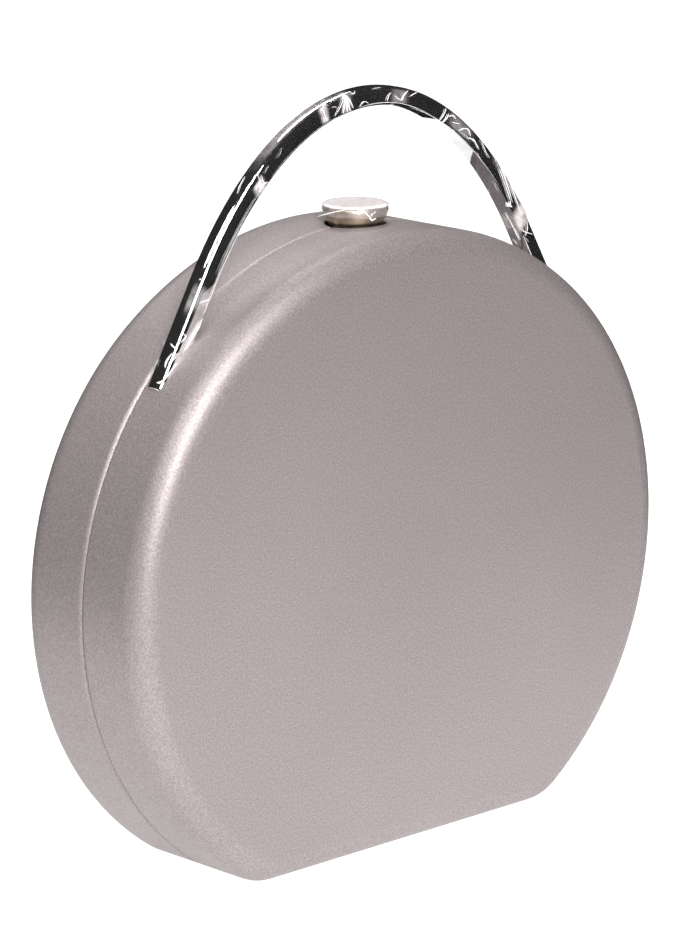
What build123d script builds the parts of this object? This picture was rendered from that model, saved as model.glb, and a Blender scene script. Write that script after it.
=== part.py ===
from build123d import *
from math import atan2, cos, degrees, radians, sin, sqrt, tan
import os

# A round hard-shell case that stands on its flat bottom.  Two covered shells meet at an upright
# seam, hinge along the bottom and lock at the top with a push knob.  A rigid chrome handle
# arches over them.  X is the width, Y the depth (the front is -Y), Z is up.  Millimetres.
# The origin is the middle of the case's footprint, on the surface it stands on.

# ---- driving dimensions: case ----
WIDTH = 200.0
HEIGHT = 172.7  # of the shells, without knob and handle
FRONT_DEPTH = 23.3  # seam to front face
BACK_DEPTH = 25.1  # seam to back face
WAIST_RATIO = 0.454  # height of the widest line, as a share of the height
BLEND_ANGLE = radians(52.2)  # where the side arc turns into the top arc
CORNER_RADIUS = 17.7  # bottom corners, seen from the front
FACE_ROUND = 7.0  # edge round between face and side
FRONT_RIM_ROUND = 0.6  # nearly sharp edge of the front covering at the seam
BACK_RIM_ROUND = 1.5  # rolled edge of the back covering at the seam
RIM_GAP = 0.2  # between the two closed rims

COVER_T = 0.7  # leatherette
SHELL_T = 1.8  # moulded shell
LINING_T = 1.2  # board and fabric
LINING_SETBACK = 1.2  # lining edge behind the rim

# ---- driving dimensions: handle ----
HANDLE_HALF_WIDTH = 80.5  # inner ellipse of the arch
HANDLE_INNER_TOP = 205.5
HANDLE_CENTRE_Z = 70.7
HANDLE_T = 5.1  # thickness across the arch
HANDLE_W = 5.8  # width front to back
HANDLE_OFFSET = 3.9  # middle of the handle in front of the seam
HANDLE_ROUND = 2.1  # round on the outer edges
HANDLE_FOOT_ROUND = 0.8  # outer corner of each blunt foot
ROOM_STEP = 0.02  # how closely the room for that round is searched where a foot is slimmer
ROOM_TRIES = 20
FILM_T = 0.7  # room taken by the loose protective film
FILM_SKIN = 0.3  # clearance of the film's ends from the case
LEG_ANGLE = 43.0  # on the ellipse, where the arch turns into straight legs
LEG_LENGTH = 42.0
FOOT_END_ANGLE = radians(41.0)  # blunt end of the foot, on the side arc
HANDLE_SCREW_ANGLE = radians(48.0)  # where its screw stands on the side arc
HANDLE_SCREW_D = 2.5
HANDLE_SCREW_DEPTH = 3.0  # thread in the handle's foot
HANDLE_SCREW_HEAD_D = 5.0
HANDLE_SCREW_HEAD_H = 1.6
BACKING_LENGTH = 20.0  # steel plate inside each foot
BACKING_WIDTH = 8.6
RIM_BACKING = 1.4  # from the seam to the plate
BACKING_T = 1.2

# ---- driving dimensions: push knob and lock ----
KNOB_BASE_D = 15.0
KNOB_D = 18.2
KNOB_H = 6.0
KNOB_FLARE_H = 4.4
KNOB_SINK = 0.6  # base of the knob below the crown of the case
KNOB_TRAVEL = 1.2
KNOB_CLEARANCE = 0.35  # around the flare in its recess with the knob pushed home
KNOB_FILM_T = 0.12
STEM_D = 5.0
STEM_FIT = 0.05  # radial running clearance in the guides
BUSH_WALL = 1.5
CLIP_D = 8.4
CLIP_T = 0.8
LOCK_X = 18.0  # width of the lock bracket
LOCK_T = 1.2  # its sheet thickness
LOCK_DROP = 10.8  # between its two plates
LOCK_FRONT = 17.0  # its front wall in front of the seam
LOCK_REACH = 4.0  # how far its plates reach behind the seam
PAD_DROP = 2.2  # mounting pads below the shell's inner wall
CATCH_T = 0.6
CATCH_W = 8.0
STRIKE_T = 1.2
STRIKE_W = 15.0
STRIKE_Y = 6.8  # front of the strike tongue behind the seam
STRIKE_LENGTH = 11.0
STRIKE_HOOK_GAP = 0.4
TONGUE_OVERLAP = 1.6  # height that the hook stands behind the tongue
LOCK_SCREW_D = 2.2
LOCK_SCREW_HEAD_D = 4.2
LOCK_SCREW_HEAD_H = 1.4
LOCK_SCREW_DEPTH = 2.6  # thread in the pad
SPRING_WIRE = 0.5
SPRING_TURNS = 5

# ---- driving dimensions: hinge ----
HINGE_Z = 2.5  # pin height above the surface the case stands on
HINGE_LENGTH = 60.0
HINGE_KNUCKLES = 5
HINGE_BARREL_D = 3.2
HINGE_PIN_D = 1.6
HINGE_PIN_FIT = 0.04
KNUCKLE_GAP = 0.3
BARREL_CLEARANCE = 0.4
LEAF_T = 0.8
LEAF_W = 10.0
HINGE_RIVET_D = 2.0
HINGE_RIVET_HEAD_D = 3.8
OPEN_ANGLE = 100.0  # widest opening of the hinge

# ---- derived ----
SEAM_Y = (FRONT_DEPTH - BACK_DEPTH) / 2
FRONT_Y = SEAM_Y - FRONT_DEPTH
BACK_Y = SEAM_Y + BACK_DEPTH
WALL_T = COVER_T + SHELL_T
LINED_T = WALL_T + LINING_T
HALF_W = WIDTH / 2
WAIST_Z = WAIST_RATIO * HEIGHT
TOP_DROP = HEIGHT - WAIST_Z
ARC_STEP = (HALF_W - TOP_DROP) / (sin(BLEND_ANGLE) + cos(BLEND_ANGLE) - 1)
SIDE_R = HALF_W - ARC_STEP * cos(BLEND_ANGLE)
TOP_R = SIDE_R + ARC_STEP
SIDE_X = HALF_W - SIDE_R
TOP_Z = HEIGHT - TOP_R
CORNER_X = SIDE_X + sqrt((SIDE_R - CORNER_RADIUS) ** 2 - (WAIST_Z - CORNER_RADIUS) ** 2)
CORNER_ANGLE = atan2(CORNER_RADIUS - WAIST_Z, CORNER_X - SIDE_X)

os.makedirs("parts", exist_ok=True)


def save(part, name):
    part.label = name
    export_step(part, f"parts/{name}.step")


def at_y(y):
    """An upright plane that faces forward, with X across and Z up."""
    return Plane.XZ.offset(-y)


def on_arc(x, z, radius, angle):
    return (x + radius * cos(angle), z + radius * sin(angle))


def oval(inset):
    """The case's outline moved inward: top arc, side arcs, corner arcs and flat bottom."""
    top = TOP_R - inset
    side = SIDE_R - inset
    corner = CORNER_RADIUS - inset
    blend = on_arc(0, TOP_Z, top, BLEND_ANGLE)
    side_mid = on_arc(SIDE_X, WAIST_Z, side, 0)
    side_end = on_arc(SIDE_X, WAIST_Z, side, CORNER_ANGLE)
    corner_mid = on_arc(CORNER_X, CORNER_RADIUS, corner, (CORNER_ANGLE - radians(90)) / 2)
    with BuildSketch() as sketch:
        with BuildLine():
            ThreePointArc((0, HEIGHT - inset), on_arc(0, TOP_Z, top, radians(70)), blend)
            ThreePointArc(blend, side_mid, side_end)
            ThreePointArc(side_end, corner_mid, (CORNER_X, inset))
            Line((CORNER_X, inset), (0, inset))
            Line((0, inset), (0, HEIGHT - inset))
        make_face()
        mirror(about=Plane.YZ)
    return sketch.sketch


def tub(inset, face_y, rim_y, face_round, rim_round=0.0):
    """A solid with the case's outline between face and rim, rounded along both."""
    outward = 1 if face_y > rim_y else -1
    with BuildPart() as solid:
        with BuildSketch(at_y(rim_y)):
            add(oval(inset))
        extrude(amount=-outward * abs(face_y - rim_y))
        ends = solid.faces().filter_by(Axis.Y).sort_by(Axis.Y)
        face_end = ends[-1] if outward > 0 else ends[0]
        fillet(face_end.edges(), face_round)
        if rim_round > 0:
            ends = solid.faces().filter_by(Axis.Y).sort_by(Axis.Y)
            rim_end = ends[0] if outward > 0 else ends[-1]
            fillet(rim_end.edges(), rim_round)
    return solid.part


def block(x0, x1, y0, y1, z0, z1):
    """A plain box between two corners."""
    with BuildPart() as solid:
        with BuildSketch(Plane.XY.offset(z0)):
            with Locations(((x0 + x1) / 2, (y0 + y1) / 2)):
                Rectangle(x1 - x0, y1 - y0)
        extrude(amount=z1 - z0)
    return solid.part


def upright_rod(x, y, z0, z1, diameter):
    with BuildPart() as solid:
        with BuildSketch(Plane.XY.offset(z0)):
            with Locations((x, y)):
                Circle(diameter / 2)
        extrude(amount=z1 - z0)
    return solid.part


# ---- solids and cutters shared by several pieces ----
FRONT_RIM_Y = SEAM_Y - RIM_GAP / 2
BACK_RIM_Y = SEAM_Y + RIM_GAP / 2
PAST_RIM = 3.0

front_outside = tub(0, FRONT_Y, FRONT_RIM_Y, FACE_ROUND, FRONT_RIM_ROUND)
front_core = tub(COVER_T, FRONT_Y + COVER_T, FRONT_RIM_Y - COVER_T, FACE_ROUND - COVER_T)
front_cavity = tub(WALL_T, FRONT_Y + WALL_T, FRONT_RIM_Y + PAST_RIM, FACE_ROUND - WALL_T)
front_room = tub(LINED_T, FRONT_Y + LINED_T, FRONT_RIM_Y + PAST_RIM, FACE_ROUND - LINED_T)
back_outside = tub(0, BACK_Y, BACK_RIM_Y, FACE_ROUND, BACK_RIM_ROUND)
back_core = tub(COVER_T, BACK_Y - COVER_T, BACK_RIM_Y + COVER_T, FACE_ROUND - COVER_T)
back_cavity = tub(WALL_T, BACK_Y - WALL_T, BACK_RIM_Y - PAST_RIM, FACE_ROUND - WALL_T)
back_room = tub(LINED_T, BACK_Y - LINED_T, BACK_RIM_Y - PAST_RIM, FACE_ROUND - LINED_T)

# Below the hinge pin both rims lean away from the seam, so that the opening half has room.
with BuildPart() as hinge_groove:
    with BuildSketch(Plane.YZ.offset(-HALF_W)):
        with BuildLine():
            spread = (HINGE_Z + 1.0) * tan(radians(OPEN_ANGLE / 2 + 2.0))
            Polyline(
                (SEAM_Y, HINGE_Z),
                (SEAM_Y - spread, -1.0),
                (SEAM_Y + spread, -1.0),
                (SEAM_Y, HINGE_Z),
            )
        make_face()
    extrude(amount=WIDTH)

# A slot through the bottom of both rims for the hinge barrel.
SLOT_REACH = HINGE_BARREL_D / 2 + BARREL_CLEARANCE
SLOT_HALF = HINGE_LENGTH / 2 + KNUCKLE_GAP
LEAF_END = SLOT_REACH + LEAF_W
barrel_slot = block(-SLOT_HALF, SLOT_HALF, SEAM_Y - SLOT_REACH, SEAM_Y + SLOT_REACH, -1.0, LINED_T + 2.0)

# The recess that the knob sinks into, and the hole for the lock's bush below it.
KNOB_Z = HEIGHT - KNOB_SINK
RECESS_Z = KNOB_Z - KNOB_TRAVEL - 0.4
PAD_Z = HEIGHT - WALL_T - PAD_DROP
PAD_ROOF_Z = HEIGHT - WALL_T + 0.4
BUSH_D = STEM_D + 2 * STEM_FIT + 2 * BUSH_WALL
LOCK_HALF = LOCK_X / 2
WINDOW_MARGIN = 0.6
KNOB_EDGE = 0.5  # radius of the knob's lower edge
FLARE_BULGE = 0.18
flare_slope = (KNOB_D - KNOB_BASE_D) / 2 / (KNOB_FLARE_H - KNOB_EDGE)
pushed_r = KNOB_BASE_D / 2 + flare_slope * (KNOB_SINK + KNOB_TRAVEL - KNOB_EDGE) + FLARE_BULGE
RECESS_D = 2 * (pushed_r + KNOB_CLEARANCE)
knob_recess = upright_rod(0, SEAM_Y, RECESS_Z, HEIGHT + 1.0, RECESS_D)
bush_hole = upright_rod(0, SEAM_Y, PAD_Z - 1.0, HEIGHT, BUSH_D + 2 * BARREL_CLEARANCE)

# ---- fastener places ----
LOCK_SCREWS = [(x, SEAM_Y - 11.5) for x in (-LOCK_HALF + 3.0, LOCK_HALF - 3.0)]
STRIKE_SCREWS = [(x, SEAM_Y + STRIKE_Y + 7.0) for x in (-STRIKE_W / 2 + 3.0, STRIKE_W / 2 - 3.0)]
HINGE_RIVET_X = (-0.38 * HINGE_LENGTH, 0.0, 0.38 * HINGE_LENGTH)
FRONT_HINGE_RIVETS = [(x, SEAM_Y - SLOT_REACH - LEAF_W / 2) for x in HINGE_RIVET_X]
BACK_HINGE_RIVETS = [(x, SEAM_Y + SLOT_REACH + LEAF_W / 2) for x in HINGE_RIVET_X]
LEAF_TOP = WALL_T + LEAF_T


def rods(places, z0, z1, diameter):
    """Equal upright rods, to drill holes or to make shanks."""
    with BuildPart() as solid:
        with BuildSketch(Plane.XY.offset(z0)):
            with Locations(*places):
                Circle(diameter / 2)
        extrude(amount=z1 - z0)
    return solid.part


hinge_rivet_shanks = {
    "front": rods(FRONT_HINGE_RIVETS, COVER_T, LEAF_TOP, HINGE_RIVET_D),
    "back": rods(BACK_HINGE_RIVETS, COVER_T, LEAF_TOP, HINGE_RIVET_D),
}
lock_screw_shanks = rods(LOCK_SCREWS, PAD_Z - LOCK_T, PAD_Z + LOCK_SCREW_DEPTH, LOCK_SCREW_D)
strike_screw_shanks = rods(STRIKE_SCREWS, PAD_Z - STRIKE_T, PAD_Z + LOCK_SCREW_DEPTH, LOCK_SCREW_D)

# ---- handle places ----
ARCH_Y = SEAM_Y - HANDLE_OFFSET
SCREW_X, SCREW_Z = on_arc(SIDE_X, WAIST_Z, SIDE_R, HANDLE_SCREW_ANGLE)


def foot_plane(side, depth):
    """A plane across the screw of one handle foot, a given depth inside the outer surface."""
    outward = Vector(side * cos(HANDLE_SCREW_ANGLE), 0, sin(HANDLE_SCREW_ANGLE))
    origin = Vector(side * SCREW_X, ARCH_Y, SCREW_Z) - outward * depth
    return Plane(origin=origin, x_dir=(0, 1, 0), z_dir=outward)


def foot_rods(depth, length, diameter):
    """One rod at each handle foot, from a depth outward."""
    with BuildPart() as solid:
        for side in (-1, 1):
            with BuildSketch(foot_plane(side, depth)):
                Circle(diameter / 2)
        extrude(amount=length)
    return solid.part


def wall_patches(inset, thickness, length, rear_y, width):
    """A curved plate against the inner wall at each handle foot."""
    with BuildPart() as solid:
        with BuildSketch(at_y(rear_y)):
            add(oval(inset))
            add(oval(inset + thickness), mode=Mode.SUBTRACT)
        extrude(amount=width)
        for side in (-1, 1):
            with BuildSketch(foot_plane(side, inset + 4.0)):
                Rectangle(width * 2, length)
        extrude(amount=8.0, mode=Mode.INTERSECT)
    return solid.part


SHANK_DEPTH = WALL_T + BACKING_T + HANDLE_SCREW_HEAD_H / 4
foot_screw_shanks = foot_rods(SHANK_DEPTH, SHANK_DEPTH + HANDLE_SCREW_DEPTH, HANDLE_SCREW_D)


def arch_side(grow):
    """The arch seen from the front: elliptical above, with straight legs that run into the case."""
    rise = HANDLE_INNER_TOP - HANDLE_CENTRE_Z
    reach = HANDLE_HALF_WIDTH + HANDLE_T + grow
    top = rise + HANDLE_T + grow
    turn = 180 - 2 * LEG_ANGLE
    centre = (0, HANDLE_CENTRE_Z)
    with BuildSketch() as sketch:
        with BuildLine():
            outer = EllipticalCenterArc(centre, reach, top, LEG_ANGLE, arc_size=turn)
            inner = EllipticalCenterArc(
                centre, HANDLE_HALF_WIDTH - grow, rise - grow, LEG_ANGLE, arc_size=turn
            )
            right_out = Line(outer @ 0, outer @ 0 - (outer % 0) * LEG_LENGTH)
            right_in = Line(inner @ 0, inner @ 0 - (inner % 0) * LEG_LENGTH)
            left_out = Line(outer @ 1, outer @ 1 + (outer % 1) * LEG_LENGTH)
            left_in = Line(inner @ 1, inner @ 1 + (inner % 1) * LEG_LENGTH)
            Line(right_out @ 1, right_in @ 1)
            Line(left_out @ 1, left_in @ 1)
        make_face()
    return sketch.sketch


def foot_ends(grow):
    """What lies beyond the blunt ends of the two feet."""
    angle = FOOT_END_ANGLE - grow / SIDE_R
    x, z = on_arc(SIDE_X, WAIST_Z, SIDE_R, angle)
    outward = Vector(cos(angle), sin(angle))
    down = Vector(sin(angle), -cos(angle))
    start = Vector(x, z) - outward * 2.0
    with BuildSketch() as sketch:
        with BuildLine():
            Polyline(
                start,
                start + outward * LEG_LENGTH,
                start + outward * LEG_LENGTH + down * LEG_LENGTH,
                start + down * LEG_LENGTH,
                close=True,
            )
        make_face()
        mirror(about=Plane.YZ)
    return sketch.sketch


def arch(grow, seat, width, edge_round):
    """The handle thickened all round by grow, its feet cut at seat above the case."""
    with BuildPart() as solid:
        with BuildSketch(at_y(ARCH_Y + width / 2)):
            add(arch_side(grow))
            add(oval(-seat), mode=Mode.SUBTRACT)
            add(foot_ends(grow), mode=Mode.SUBTRACT)
        extrude(amount=width)
        outer = solid.faces().filter_by(GeomType.PLANE, reverse=True).sort_by(SortBy.AREA)[-1]
        long_edges = outer.edges().filter_by(GeomType.ELLIPSE)
        fillet(long_edges, edge_round)
        across = solid.edges().filter_by(Axis.Y).sort_by(Axis.X)
        tips = [across[0], across[-1]]
        room = [solid.part.max_fillet([tip], ROOM_STEP, ROOM_TRIES) for tip in tips]
        fillet(tips, min([HANDLE_FOOT_ROUND] + room))
    return solid.part


# ======== front half ========
with BuildPart() as front_covering:
    add(front_outside)
    add(front_core, mode=Mode.SUBTRACT)
    add(front_cavity, mode=Mode.SUBTRACT)
    add(hinge_groove.part, mode=Mode.SUBTRACT)
    add(barrel_slot, mode=Mode.SUBTRACT)
    add(knob_recess, mode=Mode.SUBTRACT)
    add(bush_hole, mode=Mode.SUBTRACT)
    add(foot_screw_shanks, mode=Mode.SUBTRACT)
save(front_covering.part, "front_covering")

with BuildPart() as front_shell:
    add(front_core)
    add(front_cavity, mode=Mode.SUBTRACT)
    add(block(-LOCK_HALF, LOCK_HALF, SEAM_Y - LOCK_FRONT, FRONT_RIM_Y - COVER_T, PAD_Z, PAD_ROOF_Z))
    add(hinge_groove.part, mode=Mode.SUBTRACT)
    add(barrel_slot, mode=Mode.SUBTRACT)
    add(knob_recess, mode=Mode.SUBTRACT)
    add(bush_hole, mode=Mode.SUBTRACT)
    add(foot_screw_shanks, mode=Mode.SUBTRACT)
    add(lock_screw_shanks, mode=Mode.SUBTRACT)
    add(hinge_rivet_shanks["front"], mode=Mode.SUBTRACT)
save(front_shell.part, "front_shell")

with BuildPart() as front_lining:
    add(tub(WALL_T, FRONT_Y + WALL_T, FRONT_RIM_Y - LINING_SETBACK, FACE_ROUND - WALL_T))
    add(front_room, mode=Mode.SUBTRACT)
    lock_window = block(
        -LOCK_HALF - WINDOW_MARGIN,
        LOCK_HALF + WINDOW_MARGIN,
        SEAM_Y - LOCK_FRONT - WINDOW_MARGIN,
        SEAM_Y,
        PAD_Z - 1.0,
        HEIGHT,
    )
    add(lock_window, mode=Mode.SUBTRACT)
    leaf_window = block(
        -SLOT_HALF - WINDOW_MARGIN,
        SLOT_HALF + WINDOW_MARGIN,
        SEAM_Y - LEAF_END - WINDOW_MARGIN,
        SEAM_Y,
        0.0,
        LINED_T + 1.0,
    )
    add(leaf_window, mode=Mode.SUBTRACT)
    foot_margin = 2 * WINDOW_MARGIN
    foot_windows = wall_patches(
        WALL_T, LINING_T, BACKING_LENGTH + foot_margin, SEAM_Y, BACKING_WIDTH + foot_margin + RIM_BACKING
    )
    add(foot_windows, mode=Mode.SUBTRACT)
save(front_lining.part, "front_lining")

# ---- handle ----
with BuildPart() as handle:
    add(arch(0, 0, HANDLE_W, HANDLE_ROUND))
    add(foot_screw_shanks, mode=Mode.SUBTRACT)
save(handle.part, "handle")

with BuildPart() as handle_film:
    add(arch(FILM_T, FILM_SKIN, HANDLE_W + 2 * FILM_T, HANDLE_ROUND + FILM_T))
    add(arch(0, 0, HANDLE_W, HANDLE_ROUND), mode=Mode.SUBTRACT)
save(handle_film.part, "handle_film")

with BuildPart() as handle_backing_plates:
    add(wall_patches(WALL_T, BACKING_T, BACKING_LENGTH, SEAM_Y - RIM_BACKING, BACKING_WIDTH))
    add(foot_screw_shanks, mode=Mode.SUBTRACT)
save(handle_backing_plates.part, "handle_backing_plates")

with BuildPart() as handle_screws:
    add(foot_screw_shanks)
    # The head stands a little off the curved plate, so it is turned as a shallow cone below it.
    add(foot_rods(WALL_T + BACKING_T + HANDLE_SCREW_HEAD_H, HANDLE_SCREW_HEAD_H, HANDLE_SCREW_HEAD_D))
    add(handle_backing_plates.part, mode=Mode.SUBTRACT)
    for side in (-1, 1):
        with BuildSketch(foot_plane(side, WALL_T + BACKING_T + HANDLE_SCREW_HEAD_H)):
            RegularPolygon(HANDLE_SCREW_HEAD_D / 4, 6)
    extrude(amount=HANDLE_SCREW_HEAD_H / 2, mode=Mode.SUBTRACT)
save(handle_screws.part, "handle_screws")

# ---- lock: bracket, bush, catch spring and their fasteners ----
LOCK_LOW_Z = PAD_Z - 2 * LOCK_T - LOCK_DROP
TONGUE_Z = LOCK_LOW_Z + 1.6
HOOK_Y = SEAM_Y + STRIKE_Y + STRIKE_T + STRIKE_HOOK_GAP
CATCH_RIVET = [(0, SEAM_Y - 12.0)]
STEM_HOLE_D = STEM_D + 2 * STEM_FIT
BUSH_FLANGE_T = 0.8
BUSH_FLANGE_D = BUSH_D + 2.4
BUSH_LOW_Z = PAD_Z - LOCK_T - BUSH_FLANGE_T
catch_rivet_shank = rods(CATCH_RIVET, LOCK_LOW_Z - CATCH_T, LOCK_LOW_Z + LOCK_T, LOCK_SCREW_D)

with BuildPart() as lock_bracket:
    bracket_mid = SEAM_Y + (LOCK_REACH - LOCK_FRONT) / 2
    bracket_length = LOCK_FRONT + LOCK_REACH
    bracket_mid_z = (PAD_Z + LOCK_LOW_Z) / 2
    with BuildSketch(Plane.YZ.offset(-LOCK_HALF)) as bracket_side:
        with Locations((bracket_mid, bracket_mid_z)):
            Rectangle(bracket_length, PAD_Z - LOCK_LOW_Z)
        fillet(bracket_side.vertices().group_by(Axis.X)[0], 2 * LOCK_T)
    extrude(amount=LOCK_X)
    with BuildSketch(Plane.YZ.offset(-LOCK_HALF)) as bracket_inside:
        with Locations((bracket_mid + LOCK_T, bracket_mid_z)):
            Rectangle(bracket_length, LOCK_DROP)
        fillet(bracket_inside.vertices().group_by(Axis.X)[0], LOCK_T)
    extrude(amount=LOCK_X, mode=Mode.SUBTRACT)
    free_corners = lock_bracket.edges().filter_by(Axis.Z).group_by(Axis.Y)[-1]
    fillet(free_corners, 3.0)
    add(upright_rod(0, SEAM_Y, PAD_Z - LOCK_T, PAD_Z, BUSH_D), mode=Mode.SUBTRACT)
    add(upright_rod(0, SEAM_Y, LOCK_LOW_Z, LOCK_LOW_Z + LOCK_T, STEM_HOLE_D), mode=Mode.SUBTRACT)
    add(lock_screw_shanks, mode=Mode.SUBTRACT)
    add(catch_rivet_shank, mode=Mode.SUBTRACT)
save(lock_bracket.part, "lock_bracket")


def cross_screws(shanks, places, head_z, head_d, head_h):
    """Pan-head screws driven upward, with a cross slot in each head."""
    with BuildPart() as solid:
        add(shanks)
        with BuildSketch(Plane.XY.offset(head_z - head_h)):
            with Locations(*places):
                Circle(head_d / 2)
        extrude(amount=head_h)
        fillet(solid.edges().group_by(Axis.Z)[0], head_h * 0.35)
        with BuildSketch(Plane.XY.offset(head_z - head_h)):
            with Locations(*places):
                Rectangle(head_d * 0.6, head_d * 0.16)
                Rectangle(head_d * 0.16, head_d * 0.6)
        extrude(amount=head_h * 0.5, mode=Mode.SUBTRACT)
    return solid.part


def rivets(shanks, places, head_z, head_d, head_h):
    """Domed rivets whose heads lie above the given height."""
    with BuildPart() as solid:
        add(shanks)
        with BuildSketch(Plane.XY.offset(head_z)):
            with Locations(*places):
                Circle(head_d / 2)
        extrude(amount=head_h)
        fillet(solid.edges().group_by(Axis.Z)[-1], head_h * 0.7)
    return solid.part


lock_bracket_screws = cross_screws(
    lock_screw_shanks, LOCK_SCREWS, PAD_Z - LOCK_T, LOCK_SCREW_HEAD_D, LOCK_SCREW_HEAD_H
)
save(lock_bracket_screws, "lock_bracket_screws")

with BuildPart() as stem_bush:
    add(upright_rod(0, SEAM_Y, BUSH_LOW_Z, RECESS_Z, BUSH_D))
    add(upright_rod(0, SEAM_Y, BUSH_LOW_Z, BUSH_LOW_Z + BUSH_FLANGE_T, BUSH_FLANGE_D))
    fillet(stem_bush.edges().group_by(Axis.Z)[-1], 0.4)
    add(upright_rod(0, SEAM_Y, BUSH_LOW_Z, RECESS_Z, STEM_HOLE_D), mode=Mode.SUBTRACT)
save(stem_bush.part, "stem_bush")

with BuildPart() as catch_spring:
    with BuildSketch(Plane.YZ.offset(-CATCH_W / 2)) as catch_side:
        hook_top = TONGUE_Z + TONGUE_OVERLAP
        with BuildLine():
            Polyline(
                (SEAM_Y - LOCK_FRONT + 1.0, LOCK_LOW_Z),
                (HOOK_Y, LOCK_LOW_Z),
                (HOOK_Y, hook_top - CATCH_T),
                (HOOK_Y + CATCH_T, hook_top),
                (HOOK_Y + CATCH_T, LOCK_LOW_Z - CATCH_T),
                (SEAM_Y - LOCK_FRONT + 1.0, LOCK_LOW_Z - CATCH_T),
                close=True,
            )
        make_face()
        fillet(catch_side.vertices().group_by(Axis.Y)[0].sort_by(Axis.X)[-1], CATCH_T * 1.4)
    extrude(amount=CATCH_W)
    add(catch_rivet_shank, mode=Mode.SUBTRACT)
save(catch_spring.part, "catch_spring")

with BuildPart() as catch_rivet:
    add(catch_rivet_shank)
    with BuildSketch(Plane.XY.offset(LOCK_LOW_Z + LOCK_T)):
        with Locations(*CATCH_RIVET):
            Circle(LOCK_SCREW_HEAD_D / 2)
    extrude(amount=0.8)
    with BuildSketch(Plane.XY.offset(LOCK_LOW_Z - CATCH_T - 0.8)):
        with Locations(*CATCH_RIVET):
            Circle(LOCK_SCREW_HEAD_D / 2)
    extrude(amount=0.8)
    fillet(catch_rivet.edges().group_by(Axis.Z)[-1], 0.5)
    fillet(catch_rivet.edges().group_by(Axis.Z)[0], 0.5)
save(catch_rivet.part, "catch_rivet")

# ======== hinge ========
KNUCKLE = HINGE_LENGTH / HINGE_KNUCKLES


def barrel(x0, x1, diameter):
    """A rod along the hinge axis."""
    with BuildPart() as solid:
        with BuildSketch(Plane.YZ.offset(x0)):
            with Locations((SEAM_Y, HINGE_Z)):
                Circle(diameter / 2)
        extrude(amount=x1 - x0)
    return solid.part


def hinge_leaf(direction, first, shanks, bore):
    """A leaf on the bottom wall with every second knuckle round the pin."""
    near = SEAM_Y + direction * SLOT_REACH
    far = SEAM_Y + direction * LEAF_END
    with BuildPart() as leaf:
        add(block(-HINGE_LENGTH / 2, HINGE_LENGTH / 2, min(near, far), max(near, far), WALL_T, LEAF_TOP))
        corners = leaf.edges().filter_by(Axis.Z).group_by(Axis.Y)
        fillet(corners[0] if direction < 0 else corners[-1], LEAF_W / 4)
        for i in range(first, HINGE_KNUCKLES, 2):
            x0 = -HINGE_LENGTH / 2 + i * KNUCKLE + KNUCKLE_GAP / 2
            x1 = x0 + KNUCKLE - KNUCKLE_GAP
            add(block(x0, x1, min(near, SEAM_Y), max(near, SEAM_Y), WALL_T, LEAF_TOP))
            add(barrel(x0, x1, HINGE_BARREL_D))
        add(barrel(-HINGE_LENGTH, HINGE_LENGTH, bore), mode=Mode.SUBTRACT)
        add(shanks, mode=Mode.SUBTRACT)
    return leaf.part


hinge_front_leaf = hinge_leaf(-1, 0, hinge_rivet_shanks["front"], HINGE_PIN_D)
save(hinge_front_leaf, "hinge_front_leaf")
hinge_back_leaf = hinge_leaf(1, 1, hinge_rivet_shanks["back"], HINGE_PIN_D + 2 * HINGE_PIN_FIT)
save(hinge_back_leaf, "hinge_back_leaf")
save(barrel(-HINGE_LENGTH / 2, HINGE_LENGTH / 2, HINGE_PIN_D), "hinge_pin")

front_rivets = rivets(hinge_rivet_shanks["front"], FRONT_HINGE_RIVETS, LEAF_TOP, HINGE_RIVET_HEAD_D, 0.9)
save(front_rivets, "hinge_front_rivets")
back_rivets = rivets(hinge_rivet_shanks["back"], BACK_HINGE_RIVETS, LEAF_TOP, HINGE_RIVET_HEAD_D, 0.9)
save(back_rivets, "hinge_back_rivets")

# ======== back half ========
with BuildPart() as back_covering:
    add(back_outside)
    add(back_core, mode=Mode.SUBTRACT)
    add(back_cavity, mode=Mode.SUBTRACT)
    add(hinge_groove.part, mode=Mode.SUBTRACT)
    add(barrel_slot, mode=Mode.SUBTRACT)
    add(knob_recess, mode=Mode.SUBTRACT)
    add(bush_hole, mode=Mode.SUBTRACT)
save(back_covering.part, "back_covering")

with BuildPart() as back_shell:
    add(back_core)
    add(back_cavity, mode=Mode.SUBTRACT)
    pad_front = SEAM_Y + LOCK_REACH + 0.8
    pad_end = SEAM_Y + STRIKE_Y + STRIKE_LENGTH + 1.0
    add(block(-LOCK_HALF, LOCK_HALF, pad_front, pad_end, PAD_Z, PAD_ROOF_Z))
    # Over the bracket the pad is thinner, to pass it when the half swings away.
    add(block(-LOCK_HALF, LOCK_HALF, BACK_RIM_Y + COVER_T, pad_front, PAD_Z + 0.6, PAD_ROOF_Z))
    add(hinge_groove.part, mode=Mode.SUBTRACT)
    add(barrel_slot, mode=Mode.SUBTRACT)
    add(knob_recess, mode=Mode.SUBTRACT)
    add(bush_hole, mode=Mode.SUBTRACT)
    add(strike_screw_shanks, mode=Mode.SUBTRACT)
    add(hinge_rivet_shanks["back"], mode=Mode.SUBTRACT)
save(back_shell.part, "back_shell")

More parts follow.
